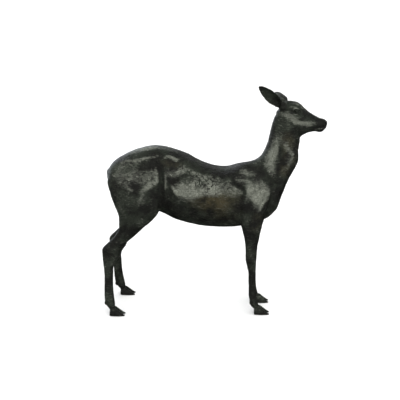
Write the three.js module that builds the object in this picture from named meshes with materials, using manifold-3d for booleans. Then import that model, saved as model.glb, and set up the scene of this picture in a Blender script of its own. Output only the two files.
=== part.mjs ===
// A life-size roe doe in cast bronze, standing square on its four hooves and looking ahead.
// Millimetres, +Z up, the nose towards +X, the deer's left side towards +Y, the soles at Z = 0.
import * as THREE from "three";
import { mergeVertices } from "three/addons/utils/BufferGeometryUtils.js";
import Module from "manifold-3d";

const wasm = await Module();
wasm.setup();

// ---- Driving dimensions ----
const CENTRE_SHIFT = 9; // moves the whole animal forward, so that its box is centred on X = 0
const HIND_STRIDE = 9.5; // how far each hind hoof stands before or behind the pair's middle
const HIP_HEIGHT = 690; // where the hind legs start to swing
const NEAR = -1; // the deer's right side
const FAR = 1; // the deer's left side

// ---- Relief ----
// Low swellings and hollows of the muscles and bones, alike on both sides: the middle in the side view,
// the reach forwards and upwards, and the height, which is below 0 for a hollow.
const pad = (x, z, reachX, reachZ, height) => ({ x, z, reachX, reachZ, height });
const BODY_RELIEF = {
  hipBone: pad(-262, 702, 32, 20, 8),
  loin: pad(-186, 648, 46, 40, -9),
  flank: pad(-196, 530, 30, 56, -8),
  lastRibs: pad(-104, 560, 44, 80, 5),
  behindShoulder: pad(104, 560, 22, 90, -9),
  witherBlade: pad(168, 640, 34, 50, 7),
  neckRoot: pad(262, 640, 26, 50, -5),
  throat: pad(318, 720, 30, 60, -4),
};
const HIND_RELIEF = {
  thigh: pad(-300, 600, 50, 60, 6),
  buttock: pad(-400, 590, 36, 60, 7),
  thighGroove: pad(-362, 560, 16, 70, -5),
  stifle: pad(-246, 506, 24, 24, 6),
  gaskin: pad(-318, 430, 24, 30, 5),
  tendon: pad(-378, 392, 14, 44, -7),
  hock: pad(-440, 292, 24, 20, 3),
};
const FORE_RELIEF = {
  shoulderPoint: pad(214, 556, 26, 30, 6),
  upperArm: pad(140, 560, 24, 36, 6),
  armGroove: pad(176, 520, 12, 50, -4),
  forearm: pad(186, 428, 20, 36, 4),
  knee: pad(168, 262, 20, 18, 3),
};
function swelling(relief, x, z) {
  let height = 0;
  for (const bump of Object.values(relief))
    height += bump.height * Math.exp(-(((x - bump.x) / bump.reachX) ** 2) - ((z - bump.z) / bump.reachZ) ** 2);
  return height;
}

// ---- Lofts ----
// A section is a ring across a limb. (x1, z1) is its upper or front edge and (x2, z2) its lower or rear
// edge in the side view, off is its middle's distance from the centre plane and half its half width.
// pear above 0 narrows the ring at (x1, z1), below 0 at (x2, z2); square over 2 fills its corners.
const ring = (x1, z1, x2, z2, off, half, pear = 0, square = 2) => ({
  x1,
  z1,
  x2,
  z2,
  off,
  half,
  pear,
  square,
});

// A limb's rounded tip, where its rings shrink to one point.
const tip = (x, z, off = 0) => ring(x, z, x, z, off, 0);

// Near an end the ring's size runs ahead of its place, which rounds the tip.
function roundedAhead(t) {
  return t + (Math.sqrt(t * (2 - t)) - t) * (1 - t);
}

// The places of the rings, from 0 to the last section, closer together in the two end spans.
function ringPlaces(spans, perSpan) {
  const places = [0];
  const endSteps = perSpan + 1;
  for (let i = 1; i <= endSteps; i++) places.push((i / endSteps) ** 2);
  for (let s = 1; s < spans - 1; s++)
    for (let i = 1; i <= perSpan; i++) places.push(s + i / perSpan);
  for (let i = endSteps - 1; i >= 0; i--) places.push(spans - (i / endSteps) ** 2);
  return places;
}

// A closed body through the sections: a sphere whose rows of vertices are carried to the rings.
function loft(sections, { around = 12, perSpan = 2, side = 1, stride = 0, relief = {} } = {}) {
  const spans = sections.length - 1;
  const through = (pick) => new THREE.CatmullRomCurve3(sections.map(pick), false, "catmullrom", 0.5);
  const edge1 = through((s) => new THREE.Vector3(s.x1, s.off * side, s.z1));
  const edge2 = through((s) => new THREE.Vector3(s.x2, s.off * side, s.z2));
  const girth = through((s) => new THREE.Vector3(s.half, s.pear, s.square));
  const places = ringPlaces(spans, perSpan);
  const ball = new THREE.SphereGeometry(1, around, places.length - 1);
  const position = ball.attributes.position;
  const vertex = new THREE.Vector3();
  const power = (v, p) => Math.sign(v) * Math.abs(v) ** p;
  for (let i = 0; i < position.count; i++) {
    const place = places[Math.floor(i / (around + 1))];
    const angle = (2 * Math.PI * (i % (around + 1))) / around;
    let sized = place;
    if (place < 1) sized = roundedAhead(place);
    if (place > spans - 1) sized = spans - roundedAhead(spans - place);
    const middle = edge1.getPoint(place / spans).lerp(edge2.getPoint(place / spans), 0.5);
    const depth = edge1.getPoint(sized / spans).sub(edge2.getPoint(sized / spans)).multiplyScalar(0.5);
    const { x: half, y: pear, z: square } = girth.getPoint(sized / spans);
    const up = power(Math.sin(angle), 2 / square);
    const out = power(Math.cos(angle), 2 / square) * Math.max(half, 0) * (1 - pear * up);
    vertex.copy(middle).addScaledVector(depth, up);
    const outward = Math.sign(middle.y || out);
    if (half > 0) {
      const facing = Math.max(0, (outward * out) / half);
      vertex.y += outward * facing * swelling(relief, vertex.x, vertex.z);
    }
    vertex.y += out;
    vertex.x += stride * (1 - Math.min(vertex.z, HIP_HEIGHT) / HIP_HEIGHT);
    position.setXYZ(i, vertex.x, vertex.y, vertex.z);
  }
  return ball;
}

// ---- Solids ----
// A closed geometry as a manifold-3d solid, turned the right way out.
function solid(geometry) {
  const bare = geometry.toNonIndexed();
  bare.deleteAttribute("normal");
  bare.deleteAttribute("uv");
  const merged = mergeVertices(bare, 1e-3);
  const triVerts = new Uint32Array(merged.index.array);
  const vertProperties = merged.attributes.position.array;
  const corner = (i) => new THREE.Vector3().fromArray(vertProperties, 3 * triVerts[i]);
  let volume = 0;
  for (let i = 0; i < triVerts.length; i += 3) volume += corner(i).dot(corner(i + 1).cross(corner(i + 2)));
  if (volume < 0)
    for (let i = 0; i < triVerts.length; i += 3)
      [triVerts[i + 1], triVerts[i + 2]] = [triVerts[i + 2], triVerts[i + 1]];
  return new wasm.Manifold(new wasm.Mesh({ numProp: 3, vertProperties, triVerts }));
}

const fuse = (geometries) => geometries.map(solid).reduce((whole, part) => whole.add(part));

// A solid's surface as a geometry that three.js can draw.
function drawn(body) {
  const mesh = body.getMesh();
  return new THREE.BufferGeometry()
    .setAttribute("position", new THREE.BufferAttribute(mesh.vertProperties, 3))
    .setIndex(new THREE.BufferAttribute(mesh.triVerts, 1));
}

// ---- The body and neck, from the rump to behind the ears ----
const trunk = loft(
  [
    tip(-454, 622),
    ring(-442, 666, -441, 560, 0, 58),
    ring(-403, 700, -412, 518, 0, 74, 0.1, 2.3),
    ring(-332, 735, -335, 492, 0, 82, 0.06, 2.4),
    ring(-244, 753, -236, 461, 0, 82, -0.1, 2.3),
    ring(-142, 729, -158, 424, 0, 92, -0.15, 2.2),
    ring(-41, 679, -60, 399, 0, 100, -0.26, 2.1),
    ring(40, 662, 30, 393, 0, 101, -0.28, 2.1),
    ring(110, 680, 120, 401, 0, 92, -0.12, 2.1),
    ring(165, 694, 218, 429, 0, 82, 0.05),
    ring(196, 716, 268, 476, 0, 74, 0.1),
    ring(212, 744, 291, 540, 0, 63, 0.1),
    ring(224, 778, 317, 612, 0, 54, 0.05),
    ring(232, 816, 351, 690, 0, 47),
    ring(240, 853, 354, 748, 0, 43),
    ring(252, 890, 357, 787, 0, 41),
    ring(276, 912, 350, 812, 0, 35),
    tip(315, 872),
  ],
  { around: 24, perSpan: 2, relief: BODY_RELIEF },
);

// ---- The head ----
const head = loft(
  [
    tip(258, 888),
    ring(266, 918, 286, 842, 0, 34, 0, 2.2),
    ring(291, 950, 320, 810, 0, 37, -0.15, 2.2),
    ring(323, 954, 350, 799, 0, 38.5, -0.25, 2.3),
    ring(351, 943, 376, 813, 0, 37, -0.25, 2.3),
    ring(376, 919, 396, 822, 0, 30, -0.15, 2.3),
    ring(405, 898, 416, 825, 0, 24, -0.1, 2.3),
    ring(434, 883, 437, 823, 0, 22, -0.05, 2.3),
    ring(457, 876, 452, 829, 0, 19, 0, 2.4),
    tip(467, 856),
  ],
  { around: 16, perSpan: 2 },
);

// ---- Legs ----
const hindLeg = (side) =>
  loft(
    [
      tip(-345, 700, 30),
      ring(-276, 680, -424, 655, 38, 30),
      ring(-226, 625, -450, 612, 48, 40, 0, 2.3),
      ring(-219, 556, -440, 562, 55, 42, 0, 2.3),
      ring(-227, 486, -424, 510, 60, 36, 0, 2.2),
      ring(-255, 442, -406, 466, 64, 30),
      ring(-292, 409, -403, 432, 66, 26),
      ring(-332, 369, -405, 396, 66, 22),
      ring(-373, 330, -431, 352, 64, 19),
      ring(-396, 298, -475, 308, 64, 20),
      ring(-404, 266, -480, 278, 66, 19),
      ring(-428, 228, -476, 236, 72, 17),
      ring(-434, 180, -470, 184, 80, 16),
      ring(-432, 130, -470, 130, 88, 16),
      ring(-429, 92, -473, 92, 94, 18),
      ring(-426, 68, -470, 61, 98, 20),
      ring(-424, 44, -456, 38, 101, 17),
      tip(-430, 12, 103),
    ],
    { around: 14, perSpan: 2, side, stride: side * HIND_STRIDE, relief: HIND_RELIEF },
  );

const foreLeg = (side) =>
  loft(
    [
      tip(160, 668, 24),
      ring(192, 652, 120, 640, 34, 26),
      ring(222, 612, 104, 596, 50, 32),
      ring(236, 565, 112, 548, 58, 34),
      ring(234, 510, 114, 498, 62, 30),
      ring(218, 456, 112, 446, 62, 27),
      ring(208, 415, 124, 404, 60, 24),
      ring(200, 370, 134, 362, 58, 22),
      ring(192, 320, 140, 316, 57, 19),
      ring(190, 275, 142, 262, 57, 20),
      ring(188, 238, 148, 232, 57, 18),
      ring(188, 190, 156, 190, 57, 14),
      ring(190, 140, 158, 138, 57, 14),
      ring(193, 92, 159, 90, 57, 17),
      ring(195, 66, 163, 60, 57, 19),
      ring(203, 40, 172, 34, 57, 16),
      tip(205, 14, 57),
    ],
    { around: 12, perSpan: 2, side, relief: FORE_RELIEF },
  );

// ---- Feet ----
// One toe of a cloven hoof, with its heel at (x, 0), and the dewclaw behind the fetlock above it.
const TOE_LENGTH = 70;
const TOE_HEIGHT = 36;
const TOE_SPREAD = 11;
const toe = (x, off, side, stride) =>
  loft(
    [
      tip(x + 2, 12, off),
      ring(x + 6, 0.9 * TOE_HEIGHT, x + 4, -2, off, 9, 0.2),
      ring(x + 0.36 * TOE_LENGTH, TOE_HEIGHT, x + 0.3 * TOE_LENGTH, -6, off, 11, 0.2),
      ring(x + 0.62 * TOE_LENGTH, 0.62 * TOE_HEIGHT, x + 0.58 * TOE_LENGTH, -6, off, 10, 0.2),
      ring(x + 0.85 * TOE_LENGTH, 0.26 * TOE_HEIGHT, x + 0.82 * TOE_LENGTH, -5, off, 7),
      tip(x + TOE_LENGTH, 2, off),
    ],
    { around: 10, perSpan: 1, side, stride },
  );
const dewclaw = (x, z, off, side, stride) =>
  loft([tip(x + 10, z + 20, off), ring(x + 14, z + 8, x, z + 6, off, 7), tip(x + 1, z - 6, off)], {
    around: 8,
    perSpan: 1,
    side,
    stride,
  });
const feet = [];
for (const side of [NEAR, FAR])
  for (const spread of [-TOE_SPREAD, TOE_SPREAD]) {
    feet.push(toe(182, 57 + spread, side, 0));
    feet.push(dewclaw(162, 54, 57 + spread, side, 0));
    feet.push(toe(-451, 103 + spread, side, side * HIND_STRIDE));
    feet.push(dewclaw(-470, 58, 98 + spread, side, side * HIND_STRIDE));
  }

// ---- Ears ----
// A leaf-shaped cup: both faces follow one trough, a wall's thickness apart.
const EAR_TROUGH = 17;
const EAR_WALL = 6;
function ear(root, end, opening, halfWidth, swell) {
  const from = new THREE.Vector3(...root);
  const span = new THREE.Vector3(...end).sub(from);
  const out = new THREE.Vector3(...opening).projectOnPlane(span).normalize();
  const across = new THREE.Vector3().crossVectors(span, out).normalize();
  const rows = 12;
  const around = 12;
  const leaf = new THREE.SphereGeometry(1, around, rows);
  const position = leaf.attributes.position;
  for (let i = 0; i < position.count; i++) {
    const t = Math.floor(i / (around + 1)) / rows;
    const angle = (2 * Math.PI * (i % (around + 1))) / around;
    const half = halfWidth * Math.sin(Math.PI * t ** swell) ** 0.7;
    const trough = EAR_TROUGH * Math.sin(Math.PI * t ** 0.6) * Math.sin(angle) ** 2;
    const wall = 0.5 * EAR_WALL * Math.sin(Math.PI * t) ** 0.5 * Math.sin(angle);
    const point = from
      .clone()
      .addScaledVector(span, t)
      .addScaledVector(across, half * Math.cos(angle))
      .addScaledVector(out, wall - trough);
    position.setXYZ(i, point.x, point.y, point.z);
  }
  return leaf;
}
const ears = [
  ear([284, -22, 922], [178, -66, 1025], [0.2, -1, -0.2], 27, 1.0),
  ear([292, 20, 932], [254, 121, 967], [0.3, 0.4, -1], 29, 0.7),
];

// ---- Face ----
const ball = (x, y, z, rx, ry, rz) => new THREE.SphereGeometry(1, 10, 8).scale(rx, ry, rz).translate(x, y, z);
const brows = [];
const eyes = [];
const hollows = [];
for (const side of [NEAR, FAR]) {
  const brow = [
    tip(298, 926, 31),
    ring(310, 940, 312, 930, 35, 4),
    ring(330, 942, 330, 931, 37, 4),
    ring(346, 934, 344, 925, 34, 4),
    tip(357, 921, 29),
  ];
  const mouth = [
    tip(396, 835, 25),
    ring(412, 843, 412, 840, 24, 4),
    ring(436, 847, 436, 844, 22, 4),
    ring(456, 850, 456, 847, 18, 4),
    tip(474, 853, 12),
  ];
  brows.push(loft(brow, { around: 8, perSpan: 1, side }));
  eyes.push(ball(338, side * 31, 917, 10, 8, 8));
  hollows.push(ball(338, side * 41, 917, 16, 7, 10)); // the eye's socket
  hollows.push(ball(461, side * 11, 861, 5, 6, 4)); // a nostril
  hollows.push(loft(mouth, { around: 6, perSpan: 1, side }));
}

// ---- Tail, lying flat against the rump ----
const tail = loft(
  [
    tip(-412, 690),
    ring(-430, 677, -428, 666, 0, 11),
    ring(-452, 656, -440, 650, 0, 12),
    ring(-463, 637, -448, 632, 0, 11),
    tip(-457, 598),
  ],
  { around: 10, perSpan: 1 },
);

// ---- The casting ----
const GROUND = new THREE.BoxGeometry(2000, 1000, 100).translate(0, 0, -50);
const limbs = [NEAR, FAR].flatMap((side) => [hindLeg(side), foreLeg(side)]);
const animal = fuse([trunk, head, tail, ...limbs, ...feet, ...ears, ...brows])
  .subtract(fuse([...hollows, GROUND]))
  .add(fuse(eyes));

const deer = new THREE.Mesh(
  drawn(animal),
  new THREE.MeshStandardMaterial({ color: 0x2c2f28, roughness: 0.45, metalness: 0.9 }),
);
deer.name = "bronze_deer";
deer.position.x = CENTRE_SHIFT;

const sculpture = new THREE.Group();
sculpture.add(deer);
export default sculpture;
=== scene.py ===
"""A life-size roe doe in cast bronze, standing square on its four hooves.

The casting is lofted from named sections, fused into one skin, smoothed where its forms meet,
tooled with the strokes of its anatomy, and dressed in a dark green-brown patina with painted
highlights on its raised forms and painted shade in its grooves and hollows.
Sections and strokes are in millimetres and the finished mesh is in metres. +X is the way the doe
faces, +Y is its left side and +Z is up.
"""

from __future__ import annotations

import logging
import math
from dataclasses import dataclass, field
from enum import Enum

import bmesh
import bpy
import numpy as np
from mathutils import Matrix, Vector, noise

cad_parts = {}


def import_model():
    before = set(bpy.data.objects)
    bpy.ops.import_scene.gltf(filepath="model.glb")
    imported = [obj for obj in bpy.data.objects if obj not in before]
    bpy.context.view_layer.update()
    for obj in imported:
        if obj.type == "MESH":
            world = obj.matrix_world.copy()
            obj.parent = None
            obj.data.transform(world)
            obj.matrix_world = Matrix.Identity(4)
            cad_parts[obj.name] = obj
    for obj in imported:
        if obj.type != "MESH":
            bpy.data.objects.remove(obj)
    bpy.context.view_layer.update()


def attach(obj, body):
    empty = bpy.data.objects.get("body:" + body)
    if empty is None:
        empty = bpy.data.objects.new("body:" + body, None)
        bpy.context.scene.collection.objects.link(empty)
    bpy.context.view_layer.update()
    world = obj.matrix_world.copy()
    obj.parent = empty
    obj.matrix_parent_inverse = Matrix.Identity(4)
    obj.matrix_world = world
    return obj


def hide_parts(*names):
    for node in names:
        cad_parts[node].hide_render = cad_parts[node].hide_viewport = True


logging.basicConfig(level=logging.INFO, format="%(levelname)s %(message)s")
log = logging.getLogger("bronze_deer")

MM = 0.001

# In millimetres: how far the sections are moved ahead, so that the doe stands over the frame's
# middle, and the height at which a stride has faded out.
CENTRE_SHIFT = 9.0
HIP_HEIGHT = 690.0

# A stroke is read at so many places between two of its points. A fading one follows this stretch
# of a half sine wave, and the power makes its ends blunter.
STROKE_STEPS = 8
FADE_FROM, FADE_TO, FADE_POWER = 0.06, 0.94, 0.6

# A stroke reaches a little over the centre plane, in metres, and a skin that faces fore, aft, up
# or down takes only a small share of it.
SIDE_OVERLAP = 0.004
LEAST_SHARE, SHARE_GAIN = 0.15, 1.3

# One round of smoothing pushes the points in and then a little further out, so nothing shrinks.
SMOOTHING_PUSHES = (0.5, -0.52)
ROUNDS_PER_REFRESH = 8


class Side(Enum):
    """The side of the doe, as the sign of Y."""

    RIGHT = -1.0
    LEFT = 1.0


BOTH = (Side.RIGHT, Side.LEFT)
Socket = bpy.types.NodeSocket
Colour = tuple[float, float, float, float]


@dataclass(frozen=True)
class Ring:
    """A section across a limb, in millimetres.

    (x1, z1) is the upper or front edge in the side view and (x2, z2) the lower or rear one. off is
    the middle's distance from the centre plane and half the half width. pear above 0 narrows the
    ring at (x1, z1), and square over 2 fills its corners.
    """

    x1: float
    z1: float
    x2: float
    z2: float
    off: float = 0.0
    half: float = 0.0
    pear: float = 0.0
    square: float = 2.0


def tip(x: float, z: float, off: float = 0.0) -> Ring:
    """The point in which a limb's rings end."""
    return Ring(x, z, x, z, off, 0.0)


def spline(points: np.ndarray, places: np.ndarray) -> np.ndarray:
    """Reads a Catmull-Rom curve.

    Args:
        points: the points that the curve goes through, one row each.
        places: where to read it, from 0 to the last point's number.

    Returns:
        One row for each place.
    """
    ends = np.vstack([2 * points[0] - points[1], points, 2 * points[-1] - points[-2]])
    span = np.clip(np.floor(places).astype(int), 0, len(points) - 2)
    t = (places - span)[:, None]
    a, b, c, d = (ends[span + k] for k in range(4))
    return 0.5 * (2 * b + (c - a) * t + (2 * a - 5 * b + 4 * c - d) * t**2 + (3 * b - a - 3 * c + d) * t**3)


def rounded_ahead(t: np.ndarray) -> np.ndarray:
    """Runs a ring's size ahead of its place near an end, which rounds the tip."""
    return t + (np.sqrt(np.clip(t * (2 - t), 0, None)) - t) * (1 - t)


@dataclass(frozen=True)
class Loft:
    """A closed limb through its rings.

    stride moves a foot forward in millimetres, fading out at the height of the hip.
    """

    rings: tuple[Ring, ...]
    around: int = 48
    per_span: int = 8
    side: Side = Side.LEFT
    stride: float = 0.0

    def places(self) -> np.ndarray:
        """Spaces the rows along the limb, closer together in the two end spans.

        Returns:
            The place of each row, from 0 to the last ring's number.
        """
        spans = len(self.rings) - 1
        steps = np.arange(1, self.per_span + 2) / (self.per_span + 1)
        middle = np.arange(1, (spans - 2) * self.per_span + 1) / self.per_span + 1
        return np.concatenate([[0.0], steps**2, middle, spans - (steps[::-1][1:]) ** 2, [float(spans)]])

    def build(self, shell: bmesh.types.BMesh) -> None:
        """Adds the limb to a shell.

        Args:
            shell: the mesh that gets the limb, in metres.
        """
        places = self.places()
        rows = len(places) - 1
        made = bmesh.ops.create_uvsphere(shell, u_segments=self.around, v_segments=rows, radius=1.0)
        unit = np.array([v.co for v in made["verts"]])
        row = np.rint(np.arccos(np.clip(unit[:, 2], -1, 1)) / math.pi * rows).astype(int)
        angle = np.arctan2(unit[:, 1], unit[:, 0])
        carried = self.carried(places[row], angle) * MM
        for vertex, point in zip(made["verts"], carried):
            vertex.co = point
        bmesh.ops.recalc_face_normals(shell, faces=list({f for v in made["verts"] for f in v.link_faces}))

    def carried(self, place: np.ndarray, angle: np.ndarray) -> np.ndarray:
        """Places points on the limb's skin.

        Args:
            place: how far along the limb each point is.
            angle: how far round the ring, from the outer side over the upper edge.

        Returns:
            One row of millimetres for each point.
        """
        spans = len(self.rings) - 1
        sized = np.where(place < 1, rounded_ahead(np.clip(place, 0, 1)), place)
        sized = np.where(place > spans - 1, spans - rounded_ahead(np.clip(spans - place, 0, 1)), sized)
        sign = self.side.value
        edge1 = np.array([[r.x1, r.off * sign, r.z1] for r in self.rings])
        edge2 = np.array([[r.x2, r.off * sign, r.z2] for r in self.rings])
        girth = spline(np.array([[r.half, r.pear, r.square] for r in self.rings]), sized)
        middle = (spline(edge1, place) + spline(edge2, place)) / 2
        depth = (spline(edge1, sized) - spline(edge2, sized)) / 2
        fill = 2 / girth[:, 2]
        up = np.sign(np.sin(angle)) * np.abs(np.sin(angle)) ** fill
        out = np.sign(np.cos(angle)) * np.abs(np.cos(angle)) ** fill * np.clip(girth[:, 0], 0, None)
        points = middle + depth * up[:, None]
        points[:, 1] += out * (1 - girth[:, 1] * up)
        points[:, 0] += self.stride * (1 - np.minimum(points[:, 2], HIP_HEIGHT) / HIP_HEIGHT)
        return points


@dataclass(frozen=True)
class Stroke:
    """One stroke of the modelling tool on the skin, seen from the side.

    path is a curve through (x, z) points in millimetres, reach is how far the tool's edge lies from
    it, and height is how much clay it adds, or takes away where it is below 0. fade thins the
    stroke out towards its ends.
    """

    path: tuple[tuple[float, float], ...]
    reach: float
    height: float
    sides: tuple[Side, ...] = BOTH
    fade: bool = True

    def curve(self) -> tuple[np.ndarray, np.ndarray]:
        """Reads the path at close steps.

        Returns:
            The points of the path, and how strong the stroke is at each.
        """
        points = np.array(self.path, dtype=float)
        if len(points) == 1:
            return points, np.ones(1)
        spans = len(points) - 1
        steps = np.linspace(0, spans, STROKE_STEPS * spans + 1)
        strength = np.ones(len(steps))
        if self.fade:
            strength = np.sin(np.pi * np.linspace(FADE_FROM, FADE_TO, len(steps))) ** FADE_POWER
        return spline(points, steps), strength


class Clay:
    """A skin of vertices that can be smoothed and tooled."""

    def __init__(self, mesh: bpy.types.Mesh) -> None:
        """Takes hold of a mesh.

        Args:
            mesh: the mesh to work on, in metres.
        """
        self.mesh = mesh
        count = len(mesh.vertices)
        self.points = np.empty(count * 3)
        mesh.vertices.foreach_get("co", self.points)
        self.points = self.points.reshape(-1, 3)
        self.edges = np.empty(len(mesh.edges) * 2, dtype=np.int64)
        mesh.edges.foreach_get("vertices", self.edges)
        self.edges = self.edges.reshape(-1, 2)
        ends = self.edges.ravel()
        self.degree = np.maximum(np.bincount(ends, minlength=count), 1)[:, None]
        self.refresh()

    def refresh(self) -> None:
        """Writes the points to the mesh and reads its normals again."""
        self.mesh.vertices.foreach_set("co", self.points.ravel())
        self.mesh.update()
        normals = np.empty(len(self.points) * 3)
        self.mesh.vertices.foreach_get("normal", normals)
        self.normals = normals.reshape(-1, 3)

    def mean(self, values: np.ndarray) -> np.ndarray:
        """The mean of each vertex's neighbours.

        Args:
            values: one row for each vertex.

        Returns:
            One row for each vertex.
        """
        one, two = self.edges.T
        count = len(self.points)
        total = np.empty_like(values)
        for axis in range(values.shape[1]):
            total[:, axis] = np.bincount(one, weights=values[two, axis], minlength=count)
            total[:, axis] += np.bincount(two, weights=values[one, axis], minlength=count)
        return total / self.degree

    def soften(self, rounds: int, weight: np.ndarray | float = 1.0) -> None:
        """Smooths the skin without shrinking it.

        Args:
            rounds: how many passes out and back.
            weight: how much each vertex takes part.
        """
        for _ in range(rounds):
            for push in SMOOTHING_PUSHES:
                self.points += push * weight * (self.mean(self.points) - self.points)
        self.refresh()

    def fill_creases(self, rounds: int, weight: np.ndarray) -> None:
        """Fills the grooves where two forms meet, and leaves what is convex alone.

        Args:
            rounds: how many passes.
            weight: how much each vertex takes part, as one column.
        """
        for step in range(rounds):
            lift = ((self.mean(self.points) - self.points) * self.normals).sum(axis=1, keepdims=True)
            self.points += self.normals * np.clip(lift, 0, None) * weight
            if (step + 1) % ROUNDS_PER_REFRESH == 0:
                self.refresh()
        self.refresh()

    def nearness(self, stroke: Stroke, side: Side) -> np.ndarray:
        """How strongly a stroke touches each vertex on one side, from 0 to 1.

        Args:
            stroke: the stroke.
            side: the side that it is made on.

        Returns:
            One number for each vertex.
        """
        touched = np.zeros(len(self.points))
        path, strength = stroke.curve()
        flat = self.points[:, [0, 2]] / MM - np.array([CENTRE_SHIFT, 0.0])
        low, high = path.min(axis=0) - stroke.reach, path.max(axis=0) + stroke.reach
        in_reach = ((flat > low) & (flat < high)).all(axis=1)
        on_side = self.points[:, 1] * side.value > -SIDE_OVERLAP
        near = np.flatnonzero(in_reach & on_side)
        if not len(near):
            return touched
        gap = np.linalg.norm(flat[near][:, None, :] - path[None, :, :], axis=2)
        closest = gap.argmin(axis=1)
        inside = np.clip(1 - (gap.min(axis=1) / stroke.reach) ** 2, 0, 1) ** 2
        facing = np.clip(LEAST_SHARE + SHARE_GAIN * self.normals[near, 1] * side.value, 0, 1)
        touched[near] = inside * strength[closest] * facing
        return touched

    def tool(self, strokes: tuple[Stroke, ...]) -> None:
        """Makes the strokes one after another.

        Args:
            strokes: the strokes, in their order.
        """
        for stroke in strokes:
            for side in stroke.sides:
                self.points += self.normals * (self.nearness(stroke, side) * stroke.height * MM)[:, None]
        self.refresh()


@dataclass(frozen=True)
class Foot:
    """Where a foot's heel and dewclaws are, in millimetres, and how far from the centre plane."""

    heel: float
    heel_off: float
    claw_x: float
    claw_z: float
    claw_off: float


@dataclass
class DeerForms:
    """The sections of the doe's trunk, head, legs and feet.

    A hind foot stands hind_stride before or behind the middle of its section table, the left one
    ahead of the right one.
    """

    fore_foot: Foot = Foot(heel=182, heel_off=57, claw_x=164, claw_z=54, claw_off=57)
    hind_foot: Foot = Foot(heel=-449, heel_off=103, claw_x=-468, claw_z=58, claw_off=98)
    hind_stride: float = 9.0
    toe_length: float = 70.0
    toe_height: float = 36.0
    toe_spread: float = 11.0
    trunk: tuple[Ring, ...] = (
        tip(-454, 622),  # end of the rump
        Ring(-442, 666, -441, 560, 0, 58),
        Ring(-403, 700, -412, 518, 0, 74, 0.1, 2.3),  # buttock
        Ring(-332, 735, -335, 492, 0, 82, 0.06, 2.4),  # croup
        Ring(-244, 753, -236, 461, 0, 82, -0.1, 2.3),  # hip
        Ring(-142, 729, -158, 424, 0, 92, -0.15, 2.2),  # loin
        Ring(-41, 679, -60, 399, 0, 100, -0.26, 2.1),  # last ribs
        Ring(40, 662, 30, 393, 0, 101, -0.28, 2.1),  # saddle of the back
        Ring(110, 680, 120, 401, 0, 92, -0.12, 2.1),  # withers
        Ring(165, 694, 216, 430, 0, 82, 0.05),  # shoulder
        Ring(196, 716, 268, 476, 0, 74, 0.1),  # breast
        Ring(212, 744, 291, 540, 0, 63, 0.1),  # root of the neck
        Ring(224, 778, 317, 612, 0, 54, 0.05),
        Ring(232, 816, 353, 690, 0, 47),  # neck
        Ring(240, 853, 354, 748, 0, 43),
        Ring(252, 890, 358, 788, 0, 41),  # throat
        Ring(276, 912, 352, 811, 0, 35),  # nape
        tip(315, 872),
    )
    head: tuple[Ring, ...] = (
        tip(258, 888),
        Ring(266, 918, 286, 842, 0, 34, 0, 2.2),  # back of the skull
        Ring(291, 949, 320, 810, 0, 37, -0.15, 2.2),  # crown and angle of the jaw
        Ring(323, 951, 350, 799, 0, 38.5, -0.25, 2.3),
        Ring(351, 941, 376, 813, 0, 37, -0.25, 2.3),  # forehead
        Ring(376, 919, 396, 822, 0, 30, -0.15, 2.3),
        Ring(405, 898, 416, 825, 0, 24, -0.1, 2.3),  # bridge of the nose
        Ring(434, 883, 437, 823, 0, 22, -0.05, 2.3),
        Ring(457, 876, 452, 829, 0, 19, 0, 2.4),  # muzzle
        tip(467, 856),  # nose
    )
    tail: tuple[Ring, ...] = (
        tip(-412, 690),  # root
        Ring(-430, 677, -428, 666, 0, 11),
        Ring(-450, 654, -440, 649, 0, 12),
        Ring(-461, 637, -448, 632, 0, 11),
        tip(-457, 598),  # end
    )
    hind_leg: tuple[Ring, ...] = (
        tip(-345, 700, 30),
        Ring(-276, 680, -424, 655, 38, 30),  # upper thigh
        Ring(-226, 625, -450, 612, 48, 40, 0, 2.3),
        Ring(-219, 556, -440, 562, 55, 42, 0, 2.3),  # thigh
        Ring(-227, 486, -424, 510, 60, 36, 0, 2.2),  # stifle
        Ring(-255, 442, -406, 466, 64, 30),
        Ring(-292, 409, -403, 432, 66, 26),  # gaskin
        Ring(-332, 369, -405, 396, 66, 22),
        Ring(-373, 330, -431, 352, 64, 19),
        Ring(-396, 298, -475, 308, 64, 20),  # point of the hock
        Ring(-404, 266, -480, 278, 66, 19),  # hock
        Ring(-428, 228, -476, 236, 72, 17),
        Ring(-432, 180, -471, 184, 80, 16),  # shank
        Ring(-432, 130, -471, 130, 88, 16),
        Ring(-429, 92, -471, 92, 94, 18),
        Ring(-426, 68, -468, 61, 98, 20),  # fetlock
        Ring(-424, 44, -456, 38, 101, 17),  # pastern
        tip(-430, 12, 103),
    )
    fore_leg: tuple[Ring, ...] = (
        tip(160, 668, 24),
        Ring(192, 652, 120, 640, 34, 26),  # shoulder
        Ring(222, 612, 104, 596, 50, 32),
        Ring(236, 565, 112, 548, 58, 34),  # point of the shoulder
        Ring(234, 510, 114, 498, 62, 30),  # upper arm
        Ring(218, 456, 112, 446, 62, 27),  # elbow
        Ring(208, 415, 124, 404, 60, 24),
        Ring(200, 370, 134, 362, 58, 22),  # forearm
        Ring(192, 320, 140, 316, 57, 19),
        Ring(190, 275, 142, 262, 57, 20),  # knee
        Ring(188, 238, 148, 232, 57, 18),
        Ring(188, 190, 156, 190, 57, 14),  # shank
        Ring(190, 140, 158, 138, 57, 14),
        Ring(193, 92, 159, 90, 57, 17),
        Ring(196, 66, 165, 60, 57, 19),  # fetlock
        Ring(203, 40, 172, 34, 57, 16),  # pastern
        tip(205, 14, 57),
    )

    def ear_root(self, side: Side) -> Loft:
        """Shapes the knob that an ear grows from.

        Args:
            side: the ear's side.

        Returns:
            The knob.
        """
        rings = (
            tip(278, 910, 20),
            Ring(301, 928, 266, 920, 23, 15),
            Ring(296, 946, 266, 938, 24, 13),
            tip(276, 956, 27),
        )
        return Loft(rings, around=24, per_span=6, side=side)

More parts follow.
